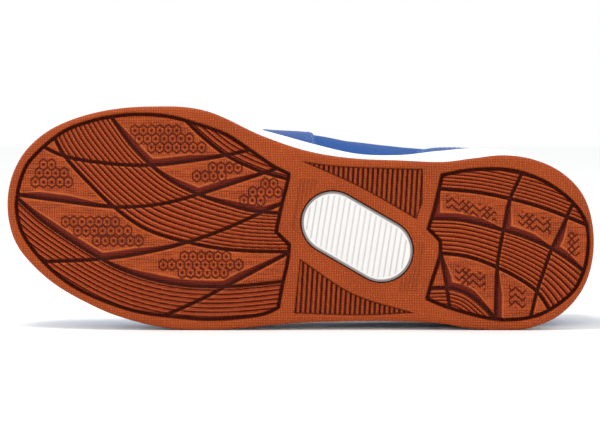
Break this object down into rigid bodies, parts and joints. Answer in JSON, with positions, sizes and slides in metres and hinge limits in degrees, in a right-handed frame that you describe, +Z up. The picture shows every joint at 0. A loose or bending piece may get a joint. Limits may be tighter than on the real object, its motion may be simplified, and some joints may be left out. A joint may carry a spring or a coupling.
{
  "type": "indoor court shoe",
  "caption": "Low court shoe for the right foot, lying on its lateral side to show a grooved gum rubber sole with a white waist insert under a blue upper.",
  "frame": {"origin": "middle of the box on the floor under the shoe, as it lies on its lateral side", "axes": "+X towards the heel, -Y out of the ground side of the sole, +Z up, towards the medial side"},
  "size_m": [0.292, 0.1226, 0.1109],
  "materials": {
    "gum_rubber": "satin moulded rubber",
    "white_rubber": "satin",
    "white_foam": "matte foam skin",
    "blue_upper": "woven, matte",
    "blue_overlay": "smooth synthetic, satin",
    "dark_lining": "matte",
    "white_lace": "matte"
  },
  "bodies": {
    "root": {"outsole": "gum_rubber", "waist_insert": "white_rubber", "midsole": "white_foam", "upper": "blue_upper", "toe_cap": "blue_overlay", "eyestay": "blue_overlay", "heel_counter": "blue_overlay", "tongue": "blue_upper", "insole": "dark_lining", "lace": "white_lace"}
  },
  "joints": []
}
